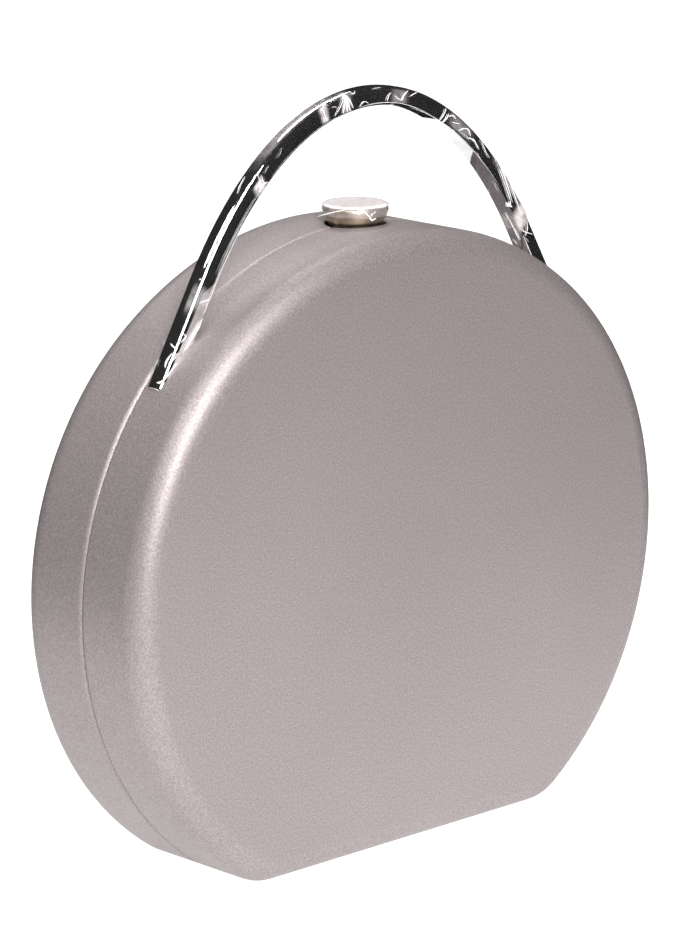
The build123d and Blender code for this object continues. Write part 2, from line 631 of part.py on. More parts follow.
with BuildPart() as back_lining:
    add(tub(WALL_T, BACK_Y - WALL_T, BACK_RIM_Y + LINING_SETBACK, FACE_ROUND - WALL_T))
    add(back_room, mode=Mode.SUBTRACT)
    strike_window = block(
        -LOCK_HALF - WINDOW_MARGIN,
        LOCK_HALF + WINDOW_MARGIN,
        SEAM_Y,
        pad_end + WINDOW_MARGIN,
        PAD_Z - 1.0,
        HEIGHT,
    )
    add(strike_window, mode=Mode.SUBTRACT)
    back_leaf_window = block(
        -SLOT_HALF - WINDOW_MARGIN,
        SLOT_HALF + WINDOW_MARGIN,
        SEAM_Y,
        SEAM_Y + LEAF_END + WINDOW_MARGIN,
        0.0,
        LINED_T + 1.0,
    )
    add(back_leaf_window, mode=Mode.SUBTRACT)
save(back_lining.part, "back_lining")

with BuildPart() as strike_plate:
    with BuildSketch(Plane.YZ.offset(-STRIKE_W / 2)) as strike_side:
        tongue_y = SEAM_Y + STRIKE_Y
        with BuildLine():
            Polyline(
                (tongue_y, TONGUE_Z + 0.8),
                (tongue_y, PAD_Z),
                (tongue_y + STRIKE_LENGTH, PAD_Z),
                (tongue_y + STRIKE_LENGTH, PAD_Z - STRIKE_T),
                (tongue_y + STRIKE_T, PAD_Z - STRIKE_T),
                (tongue_y + STRIKE_T, TONGUE_Z),
                (tongue_y + 0.6, TONGUE_Z),
                close=True,
            )
        make_face()
        fillet(strike_side.vertices().group_by(Axis.Y)[-1].sort_by(Axis.X)[0], STRIKE_T * 1.4)
    extrude(amount=STRIKE_W)
    # The tongue is narrower than the flange above it.
    for side in (-1, 1):
        edge_x = side * (STRIKE_W + CATCH_W + 2.0) / 4
        half = (STRIKE_W - CATCH_W - 2.0) / 4
        with BuildSketch(Plane.XZ.offset(-tongue_y - STRIKE_T)):
            with Locations((edge_x, (TONGUE_Z + PAD_Z) / 2 - STRIKE_T)):
                Rectangle(2 * half, PAD_Z - TONGUE_Z)
        extrude(amount=STRIKE_T, mode=Mode.SUBTRACT)
    add(strike_screw_shanks, mode=Mode.SUBTRACT)
save(strike_plate.part, "strike_plate")

strike_screws = cross_screws(
    strike_screw_shanks, STRIKE_SCREWS, PAD_Z - STRIKE_T, LOCK_SCREW_HEAD_D, LOCK_SCREW_HEAD_H
)
save(strike_screws, "strike_screws")

# ======== push knob ========
STEM_NECK_D = 3.0
STEM_NECK_H = 3.0
CLIP_Z = BUSH_LOW_Z - CLIP_T
STEM_END_Z = LOCK_LOW_Z + 0.1
GROOVE_DEPTH = 0.6

with BuildPart() as push_knob:
    with BuildSketch(Plane.XZ.offset(-SEAM_Y)):
        with BuildLine():
            edge_start = (KNOB_BASE_D / 2 - KNOB_EDGE, KNOB_Z)
            flare_start = (KNOB_BASE_D / 2, KNOB_Z + KNOB_EDGE)
            flare_mid = ((KNOB_BASE_D + KNOB_D) / 4 + FLARE_BULGE, KNOB_Z + (KNOB_FLARE_H + KNOB_EDGE) / 2)
            flare_end = (KNOB_D / 2, KNOB_Z + KNOB_FLARE_H)
            Line((0, KNOB_Z), edge_start)
            RadiusArc(edge_start, flare_start, -KNOB_EDGE)
            ThreePointArc(flare_start, flare_mid, flare_end)
            rim_r = KNOB_H - KNOB_FLARE_H
            ThreePointArc(
                flare_end,
                (KNOB_D / 2 - 0.35 * rim_r, KNOB_Z + KNOB_FLARE_H + 0.75 * rim_r),
                (KNOB_D / 2 - rim_r, KNOB_Z + KNOB_H),
            )
            Line((KNOB_D / 2 - rim_r, KNOB_Z + KNOB_H), (0, KNOB_Z + KNOB_H))
            Line((0, KNOB_Z + KNOB_H), (0, KNOB_Z))
        make_face()
    revolve(axis=Axis((0, SEAM_Y, 0), (0, 0, 1)))
    add(upright_rod(0, SEAM_Y, KNOB_Z, KNOB_Z + STEM_NECK_H, STEM_NECK_D), mode=Mode.SUBTRACT)
save(push_knob.part, "push_knob")

with BuildPart() as lock_stem:
    add(upright_rod(0, SEAM_Y, STEM_END_Z, KNOB_Z, STEM_D))
    add(upright_rod(0, SEAM_Y, KNOB_Z, KNOB_Z + STEM_NECK_H, STEM_NECK_D))
    chamfer(lock_stem.edges().group_by(Axis.Z)[0], 0.4)
    with BuildSketch(Plane.XY.offset(CLIP_Z)):
        with Locations((0, SEAM_Y)):
            Circle(STEM_D / 2)
            Circle(STEM_D / 2 - GROOVE_DEPTH, mode=Mode.SUBTRACT)
    extrude(amount=CLIP_T, mode=Mode.SUBTRACT)
save(lock_stem.part, "lock_stem")

with BuildPart() as retaining_clip:
    with BuildSketch(Plane.XY.offset(CLIP_Z)):
        with Locations((0, SEAM_Y)):
            Circle(CLIP_D / 2)
            Circle(STEM_D / 2 - GROOVE_DEPTH, mode=Mode.SUBTRACT)
        with Locations((0, SEAM_Y - CLIP_D / 2)):
            Rectangle(STEM_D - 2 * GROOVE_DEPTH - 0.6, CLIP_D, mode=Mode.SUBTRACT)
    extrude(amount=CLIP_T)
save(retaining_clip.part, "retaining_clip")

with BuildPart() as knob_film:
    with BuildSketch(Plane.XY.offset(KNOB_Z + KNOB_H)):
        with Locations((0, SEAM_Y)):
            Circle(KNOB_D / 2 - (KNOB_H - KNOB_FLARE_H))
    extrude(amount=KNOB_FILM_T)
save(knob_film.part, "knob_film")

with BuildPart() as return_spring:
    spring_low = LOCK_LOW_Z + LOCK_T + SPRING_WIRE / 2
    spring_high = CLIP_Z - SPRING_WIRE / 2
    spring_r = CLIP_D / 2 - SPRING_WIRE / 2 - 0.5
    spring_pitch = (spring_high - spring_low) / SPRING_TURNS
    with BuildLine(Plane.XY.offset(spring_low)):
        coil = Helix(spring_pitch, spring_high - spring_low, spring_r, center=(0, SEAM_Y, 0))
    with BuildSketch(Plane(origin=coil @ 0, z_dir=coil % 0)):
        RegularPolygon(SPRING_WIRE / 2, 8)
    sweep(path=coil)
save(return_spring.part, "return_spring")
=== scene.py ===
import math
import random

import bpy
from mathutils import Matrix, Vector, noise


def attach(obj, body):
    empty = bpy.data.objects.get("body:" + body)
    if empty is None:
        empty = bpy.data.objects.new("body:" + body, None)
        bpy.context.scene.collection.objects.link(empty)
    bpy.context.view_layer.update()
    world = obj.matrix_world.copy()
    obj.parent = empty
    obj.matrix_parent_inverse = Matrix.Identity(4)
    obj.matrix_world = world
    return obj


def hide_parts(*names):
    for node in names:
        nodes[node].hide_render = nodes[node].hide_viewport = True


MM = 0.001

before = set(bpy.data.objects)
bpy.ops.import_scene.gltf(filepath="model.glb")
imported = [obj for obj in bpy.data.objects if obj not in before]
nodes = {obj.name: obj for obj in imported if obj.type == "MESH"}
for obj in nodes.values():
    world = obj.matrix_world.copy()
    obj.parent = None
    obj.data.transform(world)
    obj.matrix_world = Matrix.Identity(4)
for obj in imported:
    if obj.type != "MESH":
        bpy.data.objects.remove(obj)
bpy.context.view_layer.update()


# ---------------------------------------------------------------- small helpers
def linear(code):
    """An sRGB hex colour as linear red, green, blue, alpha."""
    channels = [int(code[i:i + 2], 16) / 255 for i in (1, 3, 5)]
    return [c / 12.92 if c <= 0.04045 else ((c + 0.055) / 1.055) ** 2.4 for c in channels] + [1.0]


def put(tree, kind, inputs=None, **settings):
    """Adds a node with its settings; an input is a value or another node's socket."""
    made = tree.nodes.new(kind)
    for name, value in settings.items():
        setattr(made, name, value)
    for name, value in (inputs or {}).items():
        if isinstance(value, bpy.types.NodeSocket):
            tree.links.new(value, made.inputs[name])
        else:
            made.inputs[name].default_value = value
    return made


def new_material(name, **constants):
    """An empty node material with its output and a Principled shader."""
    material = bpy.data.materials.new(name)
    material.use_nodes = True
    tree = material.node_tree
    tree.nodes.clear()
    shader = put(tree, "ShaderNodeBsdfPrincipled", constants)
    put(tree, "ShaderNodeOutputMaterial", {"Surface": shader.outputs["BSDF"]})
    place = put(tree, "ShaderNodeTexCoord").outputs["Object"]
    return material, tree, shader, place


def speckle(tree, place, size_mm, **inputs):
    """Noise whose blobs are about size_mm across."""
    values = {"Vector": place, "Scale": 1 / (size_mm * MM), "Detail": 2.0, "Roughness": 0.5}
    values.update(inputs)
    return put(tree, "ShaderNodeTexNoise", values).outputs["Fac"]


def ramp(tree, value, stops):
    """A colour ramp through (position, hex colour or grey value) stops."""
    made = put(tree, "ShaderNodeValToRGB", {"Fac": value})
    elements = made.color_ramp.elements
    while len(elements) < len(stops):
        elements.new(0.5)
    for element, (position, colour) in zip(elements, stops):
        element.position = position
        element.color = linear(colour) if isinstance(colour, str) else [colour] * 3 + [1.0]
    return made.outputs["Color"]


def bump_on(tree, shader, height, strength, distance_mm):
    """A bump of the given height field on a shader's normal."""
    bump = put(tree, "ShaderNodeBump", {
        "Height": height, "Strength": strength, "Distance": distance_mm * MM})
    tree.links.new(bump.outputs["Normal"], shader.inputs["Normal"])


def finish_on(name, material):
    """Gives a CAD node its material."""
    mesh = nodes[name].data
    mesh.materials.clear()
    mesh.materials.append(material)


def film_piece(name, mesh, body):
    """A piece of film with the given mesh that rides on a body."""
    mesh.shade_smooth()
    made = bpy.data.objects.new(name, mesh)
    bpy.context.collection.objects.link(made)
    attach(made, body)
    return made


def film_sheet(name, points, faces, haze, body):
    """A piece of film from points and faces, with its haze at each point."""
    mesh = bpy.data.meshes.new(name)
    mesh.from_pydata(points, [], faces)
    mesh.materials.append(film)
    layer = mesh.attributes.new("haze", "FLOAT", "POINT")
    for point, value in zip(layer.data, haze):
        point.value = value
    mesh.update()
    return film_piece(name, mesh, body)


# ---------------------------------------------------------------- materials
def pearl_leatherette():
    """Pearl PU leatherette, calendered on a fine grain roller: satin, faintly pink silver."""
    material, tree, shader, place = new_material("pearl_pu_leatherette", Metallic=0.45)
    pebble = speckle(tree, place, 0.55, Detail=2.0, Roughness=0.6)
    crease = speckle(tree, place, 1.8, Distortion=0.8)
    cloud = speckle(tree, place, 60)
    fleck = ramp(tree, pebble, [(0.3, "#7F7574"), (0.5, "#988F8F"), (0.7, "#B2A8A8")])
    drift = ramp(tree, cloud, [(0.3, "#908787"), (0.7, "#9B9191")])
    colour = put(tree, "ShaderNodeMix", {"Factor": 0.4, "A": fleck, "B": drift}, data_type="RGBA")
    tree.links.new(colour.outputs["Result"], shader.inputs["Base Color"])
    sheen = put(tree, "ShaderNodeMapRange", {"Value": pebble, "To Min": 0.56, "To Max": 0.44})
    tree.links.new(sheen.outputs["Result"], shader.inputs["Roughness"])
    height = put(tree, "ShaderNodeMath", {0: crease, 1: 0.7, 2: pebble}, operation="MULTIPLY_ADD")
    bump_on(tree, shader, height.outputs["Value"], 0.35, 0.16)
    return material


def metal(name, dark, light, roughness, spread, wisp_mm=1.5):
    """Plated or bare metal whose tone and polish drift a little."""
    material, tree, shader, place = new_material(name, Metallic=1.0)
    wisp = speckle(tree, place, wisp_mm, Detail=4.0)
    tree.links.new(ramp(tree, wisp, [(0.35, dark), (0.65, light)]), shader.inputs["Base Color"])
    polish = put(tree, "ShaderNodeMapRange", {
        "Value": wisp, "To Min": roughness, "To Max": roughness + spread})
    tree.links.new(polish.outputs["Result"], shader.inputs["Roughness"])
    return material


def moulded_shell():
    """ABS, injection moulded with a spark-eroded texture: matt dark grey with tiny pits."""
    material, tree, shader, place = new_material("moulded_abs", Roughness=0.55)
    pit = speckle(tree, place, 0.8)
    tree.links.new(ramp(tree, pit, [(0.3, "#46413F"), (0.7, "#565150")]), shader.inputs["Base Color"])
    bump_on(tree, shader, pit, 0.3, 0.08)
    return material


def flocked_lining():
    """Brushed polyester tricot glued to the shell: soft pile whose tone drifts at random, painted darker in
    its hollows as painted shade.
    """
    material, tree, shader, place = new_material("brushed_tricot", Roughness=0.95, **{"Sheen Weight": 0.4})
    pile = speckle(tree, place, 0.7, Detail=3.0, Roughness=0.7)
    nap = speckle(tree, place, 18)
    # partly random fibre tone, partly painted shade: the dark end of this ramp lies in the low points of the
    # noise that also bumps the pile
    fibre_tone_and_painted_shade = ramp(tree, pile, [(0.3, "#8B7F7C"), (0.7, "#B0A5A1")])
    brushed = ramp(tree, nap, [(0.35, "#968A87"), (0.65, "#A89D99")])
    colour = put(tree, "ShaderNodeMix", {"Factor": 0.5, "A": fibre_tone_and_painted_shade, "B": brushed}, data_type="RGBA")
    tree.links.new(colour.outputs["Result"], shader.inputs["Base Color"])
    bump_on(tree, shader, pile, 0.5, 0.2)
    return material


def wrapping_film():
    """Clear polyethylene film, blown and hand wrapped: nearly invisible, hazy where layers meet."""
    material, tree, shader, place = new_material("clear_pe_film", Roughness=0.09, IOR=1.5)
    layers = put(tree, "ShaderNodeAttribute", attribute_name="haze").outputs["Fac"]
    mottle = speckle(tree, place, 2.2, Detail=3.0)
    tree.links.new(ramp(tree, mottle, [(0.3, "#E9DFE0"), (0.7, "#FBF5F4")]), shader.inputs["Base Color"])
    veil = put(tree, "ShaderNodeMath", {0: layers, 1: mottle}, operation="MULTIPLY")
    cover = put(tree, "ShaderNodeMapRange", {
        "Value": veil.outputs["Value"], "From Max": 0.6, "To Min": 0.005, "To Max": 0.96})
    tree.links.new(cover.outputs["Result"], shader.inputs["Alpha"])
    return material


def creased_film_painted_glint():
    """The same film where it is folded sharp: a whitened line that glows faintly, partly stress whitening
    and partly a painted glint standing for the fold's shine.
    """
    material, tree, shader, place = new_material("creased_pe_film_painted_glint", Roughness=0.2, IOR=1.5)
    whitening_and_painted_glint = speckle(tree, place, 0.9)
    # painted glint: the near-white colour and high alpha of the folds stand in for the shine of sharp
    # creases, with some real stress whitening
    tree.links.new(ramp(tree, whitening_and_painted_glint, [(0.3, "#EFE8E6"), (0.7, "#FFFFFF")]), shader.inputs["Base Color"])
    tree.links.new(ramp(tree, whitening_and_painted_glint, [(0.2, 0.6), (0.5, 0.95)]), shader.inputs["Alpha"])
    # painted glint: the folds glow with a weak white emission, though they are no lamp
    shader.inputs["Emission Color"].default_value = linear("#FFFFFF")
    shader.inputs["Emission Strength"].default_value = 0.35
    return material


leatherette = pearl_leatherette()
chrome = metal("bright_chrome_plate", "#D2D2D4", "#DEDEDF", 0.02, 0.03, 6.0)
nickel = metal("dull_nickel_plate", "#BDB19E", "#C9BDAA", 0.32, 0.08, 3.0)
steel = metal("zinc_plated_steel", "#A4A8AC", "#BEC0C0", 0.28, 0.12)
spring_steel = metal("tempered_spring_steel", "#6E6C6A", "#85817C", 0.3, 0.12)
brass = metal("turned_brass", "#B39448", "#C9AC66", 0.25, 0.12)
abs_shell = moulded_shell()
lining = flocked_lining()
film = wrapping_film()
crease_film_painted_glint = creased_film_painted_glint()

CAD_FINISHES = {
    leatherette: ("front_covering", "back_covering"),
    abs_shell: ("front_shell", "back_shell"),
    lining: ("front_lining", "back_lining"),
    chrome: ("handle",),
    nickel: ("push_knob",),
    brass: ("stem_bush",),
    spring_steel: ("catch_spring", "return_spring", "retaining_clip"),
    film: ("handle_film", "knob_film"),
    steel: ("handle_backing_plates", "handle_screws", "lock_bracket", "lock_bracket_screws", "strike_plate",
            "strike_screws", "catch_rivet", "lock_stem", "hinge_front_leaf", "hinge_back_leaf", "hinge_pin",
            "hinge_front_rivets", "hinge_back_rivets"),
}
for material, names in CAD_FINISHES.items():
    for name in names:
        finish_on(name, material)

# ---------------------------------------------------------------- film sleeve on the handle
# All in millimetres, as the handle is drawn: two ellipses about one centre, then straight legs.
INNER_REACH = 80.5
INNER_RISE = 134.8
CENTRE_Z = 70.7
BAR_T = 5.1
BAR_W = 5.8
BAR_ROUND = 2.1
ARCH_Y = -4.8
LEG_ANGLE = 43.0
LEG_STATIONS = 20.0  # a leg is counted as this many more degrees
INNER_LEG = 15.36
OUTER_LEG = 31.42
SIDE_CENTRE = Vector((8.68, 78.41))
SIDE_R = 91.32
SEAT_GAP = 0.35  # film above the case at the feet


def bar_edges(station):
    """Inner and outer edge of the handle bar at a station from 157 at the left foot to 23 at the right."""
    side = -1 if station > 90 else 1
    angle = math.radians(min(max(station, LEG_ANGLE), 180 - LEG_ANGLE))
    past = max(0.0, abs(station - 90) - (90 - LEG_ANGLE)) / LEG_STATIONS
    edges = []
    for reach, rise, leg in ((INNER_REACH, INNER_RISE, INNER_LEG),
                             (INNER_REACH + BAR_T, INNER_RISE + BAR_T, OUTER_LEG)):
        point = Vector((reach * math.cos(angle), CENTRE_Z + rise * math.sin(angle)))
        down = Vector((reach * math.sin(angle), -rise * math.cos(angle))) * side
        edges.append(point + down.normalized() * leg * past)
    return edges


FLAT = BAR_T - BAR_ROUND
ARC = BAR_ROUND * math.pi / 2
TOP_FLAT = BAR_W - 2 * BAR_ROUND
GIRTH = 2 * FLAT + 2 * ARC + TOP_FLAT + BAR_W


def bar_section(p):
    """Depth from the inner face, place across the width and outward direction, p mm round the bar.

    The count starts at the inner front corner and climbs the front side."""
    p %= GIRTH
    if p < FLAT:
        return p, -BAR_W / 2, Vector((0, -1))
    p -= FLAT
    if p < ARC:
        turn = p / BAR_ROUND
        out = Vector((math.sin(turn), -math.cos(turn)))
        return FLAT + BAR_ROUND * out.x, -BAR_W / 2 + BAR_ROUND * (1 + out.y), out
    p -= ARC
    if p < TOP_FLAT:
        return BAR_T, -TOP_FLAT / 2 + p, Vector((1, 0))
    p -= TOP_FLAT
    if p < ARC:
        turn = p / BAR_ROUND
        out = Vector((math.cos(turn), math.sin(turn)))
        return FLAT + BAR_ROUND * out.x, BAR_W / 2 - BAR_ROUND * (1 - out.y), out
    p -= ARC
    if p < FLAT:
        return FLAT - p, BAR_W / 2, Vector((0, 1))
    return 0.0, BAR_W / 2 - (p - FLAT), Vector((-1, 0))


def on_bar(station, p, lift):
    """A point lift mm off the handle, in mm."""
    inner, outer = bar_edges(station)
    depth, across, out = bar_section(p)
    climb = (outer - inner) / BAR_T
    flat = inner + climb * (depth + out.x * lift)
    seat = Vector((math.copysign(SIDE_CENTRE.x, flat.x), SIDE_CENTRE.y))
    reach = flat - seat
    if reach.length < SIDE_R + SEAT_GAP:
        flat = seat + reach.normalized() * (SIDE_R + SEAT_GAP)
    return Vector((flat.x, ARCH_Y + across + out.y * lift, flat.y))


# Where the film stands off or lies double: station, spread, start and end round the bar, strength.
HAZE = [
    (120.6, 1.1, -0.6, 3.4, 0.42), (102.6, 0.8, 0.8, 4.6, 0.4), (97.0, 1.2, 0.0, 6.0, 0.12),
    (140.5, 2.2, -2.0, 6.0, 0.14), (45.2, 1.4, -5.8, 6.0, 0.6), (51.5, 4.0, 2.5, 6.5, 0.16),
    (66.0, 3.0, 0.5, 4.0, 0.1), (83.0, 2.0, 0.5, 4.0, 0.1), (108.0, 9.0, 5.2, 9.4, 0.13),
]
FIRST_STATION = 157.0  # end of the left foot
LAST_STATION = 23.0  # end of the right foot
SLEEVE_STATIONS = 420
SLEEVE_ROUND = 40
FILM_WALL = 0.05
LIFT_LEAST = 0.12  # how far the sleeve stands off the bar
LIFT_MOST = 0.62
SLACK = 0.2
SLACK_DRIFT = 0.16
CRUMPLE = 0.1
BALLOON = 0.3  # more slack on the outer side left of the crown
BALLOON_STATION = 106.0
BALLOON_SPREAD = 10.0


def sleeve_lift(station, p, spot):
    """How far the loose film stands off the bar."""
    slack = SLACK + SLACK_DRIFT * noise.noise(spot * 0.11)
    crumple = CRUMPLE * (1 - abs(noise.noise(spot * 0.55 + Vector((7, 3, 1)))) * 2)
    balloon = 0.0
    if FLAT < p % GIRTH < GIRTH - BAR_W:
        balloon = BALLOON * math.exp(-((station - BALLOON_STATION) / BALLOON_SPREAD) ** 2)
    return min(LIFT_MOST, max(LIFT_LEAST, slack + crumple + balloon))


def sleeve_haze(station, p):
    """How hazy the film is at a place on the bar."""
    total = 0.0
    for centre, spread, start, end, strength in HAZE:
        near = math.exp(-((station - centre) / spread) ** 4)
        wrapped = p if p <= end else p - GIRTH
        inside = 1.0 if start <= wrapped <= end else 0.0
        total += strength * near * inside
    return total


def film_sleeve():
    """A thin tube of film round the whole bar, open at both feet."""
    walls = ([], [])
    haze = []
    for i in range(SLEEVE_STATIONS + 1):
        station = FIRST_STATION + (LAST_STATION - FIRST_STATION) * i / SLEEVE_STATIONS
        for k in range(SLEEVE_ROUND):
            p = GIRTH * k / SLEEVE_ROUND
            lift = sleeve_lift(station, p, on_bar(station, p, 0.0))
            walls[0].append(on_bar(station, p, lift) * MM)
            walls[1].append(on_bar(station, p, lift - FILM_WALL) * MM)
            haze.append(sleeve_haze(station, p))
    offset = len(walls[0])
    faces = []
    for i in range(SLEEVE_STATIONS):
        for k in range(SLEEVE_ROUND):
            a = i * SLEEVE_ROUND + k
            b = i * SLEEVE_ROUND + (k + 1) % SLEEVE_ROUND
            c, d = b + SLEEVE_ROUND, a + SLEEVE_ROUND
            faces.append((d, c, b, a))
            faces.append((b + offset, c + offset, d + offset, a + offset))
    for row, flip in ((0, -1), (SLEEVE_STATIONS * SLEEVE_ROUND, 1)):
        for k in range(SLEEVE_ROUND):
            a, b = row + k, row + (k + 1) % SLEEVE_ROUND
            faces.append((b, a, a + offset, b + offset)[::flip])
    return film_sheet("handle_film_sleeve", walls[0] + walls[1], faces, haze + haze, "front_half")


FOLD_SIDES = 6
FOLD_THICKNESS = 0.8  # share of the drawn width that a fold really has
FOLD_TIP = 0.08  # share of its width left at its tips
FOLD_SWELL = 0.6  # below 1, a fold keeps its width further towards its tips


def fold_tree():
    """Geometry nodes: each guide line becomes a closed ridge of film that thins out to both ends."""
    tree = bpy.data.node_groups.new("film_fold", "GeometryNodeTree")
    inputs = (("Guides", "Geometry"), ("Sides", "Int"), ("Thickness", "Float"), ("Film", "Material"))
    for name, kind in inputs:
        tree.interface.new_socket(name, in_out="INPUT", socket_type="NodeSocket" + kind)
    tree.interface.new_socket("Folds", in_out="OUTPUT", socket_type="NodeSocketGeometry")
    given = put(tree, "NodeGroupInput").outputs
    line = put(tree, "GeometryNodeMeshToCurve", {"Mesh": given["Guides"]})
    half = put(tree, "GeometryNodeInputNamedAttribute", {"Name": "half_width"}, data_type="FLOAT")
    scaled = put(tree, "ShaderNodeMath", {0: half.outputs["Attribute"], 1: given["Thickness"]},
                 operation="MULTIPLY")
    ring = put(tree, "GeometryNodeCurvePrimitiveCircle", {"Resolution": given["Sides"], "Radius": 1.0})
    ridge = put(tree, "GeometryNodeCurveToMesh", {
        "Curve": line.outputs["Curve"], "Profile Curve": ring.outputs["Curve"],
        "Scale": scaled.outputs["Value"], "Fill Caps": True})
    real = put(tree, "GeometryNodeRealizeInstances", {"Geometry": ridge.outputs["Mesh"]})
    coated = put(tree, "GeometryNodeSetMaterial", {
        "Geometry": real.outputs["Geometry"], "Material": given["Film"]})
    put(tree, "NodeGroupOutput", {"Folds": coated.outputs["Geometry"]})
    return tree


FOLD_TREE = fold_tree()


def grow_folds(name, lines, body):
    """A piece with one ridge for each (width, points) line, made by the fold tree and kept as plain mesh."""
    points, edges, halves = [], [], []
    for width, line in lines:
        first = len(points)
        last = len(line) - 1
        points += line
        edges += [(first + k, first + k + 1) for k in range(last)]
        halves += [width / 2 * max(FOLD_TIP, math.sin(math.pi * k / last) ** FOLD_SWELL)
                   for k in range(last + 1)]
    guides = bpy.data.meshes.new(name + "_guides")
    guides.from_pydata(points, edges, [])
    for value, half in zip(guides.attributes.new("half_width", "FLOAT", "POINT").data, halves):
        value.value = half
    holder = bpy.data.objects.new(name + "_guides", guides)
    bpy.context.collection.objects.link(holder)
    grower = holder.modifiers.new("folds", "NODES")
    grower.node_group = FOLD_TREE
    # the folds take the crease film: white, faintly glowing lines that are a painted glint on the sleeve
    wanted = {"Sides": FOLD_SIDES, "Thickness": FOLD_THICKNESS, "Film": crease_film_painted_glint}
    for socket in FOLD_TREE.interface.items_tree:
        if socket.name in wanted:
            grower[socket.identifier] = wanted[socket.name]
    evaluated = holder.evaluated_get(bpy.context.evaluated_depsgraph_get())
    mesh = bpy.data.meshes.new_from_object(evaluated)
    holder.modifiers.clear()
    bpy.data.objects.remove(holder)
    mesh.name = name
    return film_piece(name, mesh, body)


# Folds: width, then station and mm round the bar of each point they pass through.
FOLDS = [
    (0.34, (97.2, 5.2), (97.4, 3.0), (98.0, 0.3)), (0.4, (97.0, 5.4), (96.9, 3.0), (96.9, 0.2)),
    (0.42, (96.9, 5.4), (96.5, 3.0), (96.1, 0.2)), (0.3, (96.9, 5.2), (96.0, 3.0), (95.2, 0.6)),
    (0.2, (97.2, 5.0), (98.6, 2.6), (100.2, 0.8)), (0.22, (100.4, 4.6), (99.4, 5.4), (98.9, 4.6)),
    (0.22, (95.6, 5.2), (94.6, 4.4), (94.0, 5.2)), (0.2, (103.4, 4.2), (102.0, 4.9), (101.2, 4.3)),
    (0.24, (102.9, 4.2), (102.6, 2.2), (102.3, 1.0)), (0.2, (91.2, 0.9), (92.4, 1.6), (93.6, 0.5)),
    (0.2, (120.9, 0.6), (120.2, 2.6), (119.8, 4.6)), (0.2, (119.2, 0.4), (119.6, 2.2), (119.4, 3.8)),
    (0.26, (118.6, 0.3), (119.8, 1.2), (121.2, 1.0)), (0.2, (124.0, 6.4), (122.4, 7.4), (120.8, 7.6)),
    (0.3, (84.4, 2.6), (82.6, 1.6), (81.8, 3.2), (80.6, 4.6)), (0.24, (80.4, 3.0), (79.0, 4.2), (78.0, 4.8)),
    (0.24, (86.4, 1.0), (86.0, 2.4), (85.4, 3.4)), (0.3, (71.6, 0.2), (71.0, 1.8), (70.6, 4.2)),
    (0.34, (70.6, 0.2), (70.0, 1.6), (69.8, 3.2)), (0.26, (69.6, 2.4), (68.6, 3.6), (67.6, 3.2)),
    (0.26, (68.4, 1.8), (67.2, 2.4), (66.4, 3.0)), (0.3, (66.2, 1.0), (65.0, 2.8), (63.8, 3.4), (63.0, 2.4)),
    (0.26, (63.8, 1.2), (62.8, 2.0), (61.6, 2.2)), (0.26, (62.4, 2.6), (61.2, 2.2), (60.0, 1.6)),
    (0.22, (60.4, 4.4), (58.6, 3.0), (57.0, 2.6)), (0.34, (55.6, 4.8), (52.4, 3.4), (48.2, 1.4)),
    (0.3, (52.4, 5.0), (49.0, 3.4), (45.8, 2.6)), (0.22, (54.2, 3.2), (51.0, 1.8), (48.4, 0.8)),
    (0.8, (49.2, -0.3), (48.5, 0.1), (47.8, 0.6)), (0.4, (48.6, -1.2), (48.4, 0.0), (48.8, 1.0)),
    (0.3, (44.0, 0.3), (42.0, 1.8), (40.4, 3.6)), (0.22, (43.8, 3.4), (42.6, 2.2), (41.6, 0.6)),
    (0.24, (43.0, 0.0), (39.0, 0.1), (34.0, 0.1), (29.0, 0.2)),
    (0.36, (47.0, -3.0), (44.0, -2.2), (40.0, -1.8)),
    (0.5, (148.6, 6.2), (149.2, 5.4), (149.8, 4.4)), (0.3, (147.0, 4.4), (148.8, 3.2), (149.4, 4.0)),
    (0.5, (150.6, 4.9), (151.8, 5.5), (153.2, 5.2)), (0.26, (150.6, 4.8), (151.8, 4.0), (152.2, 3.4)),
    (0.3, (152.4, 3.6), (152.8, 4.4), (152.4, 5.0)), (0.6, (155.4, 5.8), (156.0, 4.9), (156.4, 3.9)),
    (0.34, (155.4, 2.8), (155.9, 3.6), (156.6, 4.4)),
    (0.36, (147.2, 0.0), (149.6, -0.2), (152.2, 0.7), (154.4, 1.6)),
    (0.2, (147.4, 0.3), (149.4, 1.3), (152.0, 1.9), (154.2, 2.2)),
    (0.2, (151.8, 0.8), (151.6, 1.2), (151.4, 1.8)), (0.2, (140.0, -0.4), (140.8, 1.4), (141.4, 3.0)),
    (0.14, (146.0, 0.2), (136.0, 0.1), (124.0, 0.1)), (0.12, (118.0, 0.2), (108.0, 0.1), (98.0, 0.2)),
    (0.12, (94.0, 0.3), (84.0, 0.7), (74.0, 0.2)), (0.1, (135.0, 1.1), (128.0, 0.9), (121.0, 1.0)),
    (0.14, (80.0, 0.1), (66.0, 0.1), (52.0, 0.1)),
]
FOLD_STEPS = 6
RANDOM_FOLDS = 46
FOLD_SEED = 11


def smooth_line(corners, steps):
    """Points on a Catmull-Rom curve through the corners."""
    ends = [corners[0]] + list(corners) + [corners[-1]]
    line = []
    for a, b, c, d in zip(ends, ends[1:], ends[2:], ends[3:]):
        for k in range(steps):
            t = k / steps
            line.append([0.5 * (2 * q + (r - p) * t + (2 * p - 5 * q + 4 * r - s) * t * t
                                + (3 * q - p - 3 * r + s) * t ** 3) for p, q, r, s in zip(a, b, c, d)])
    line.append(list(corners[-1]))
    return line


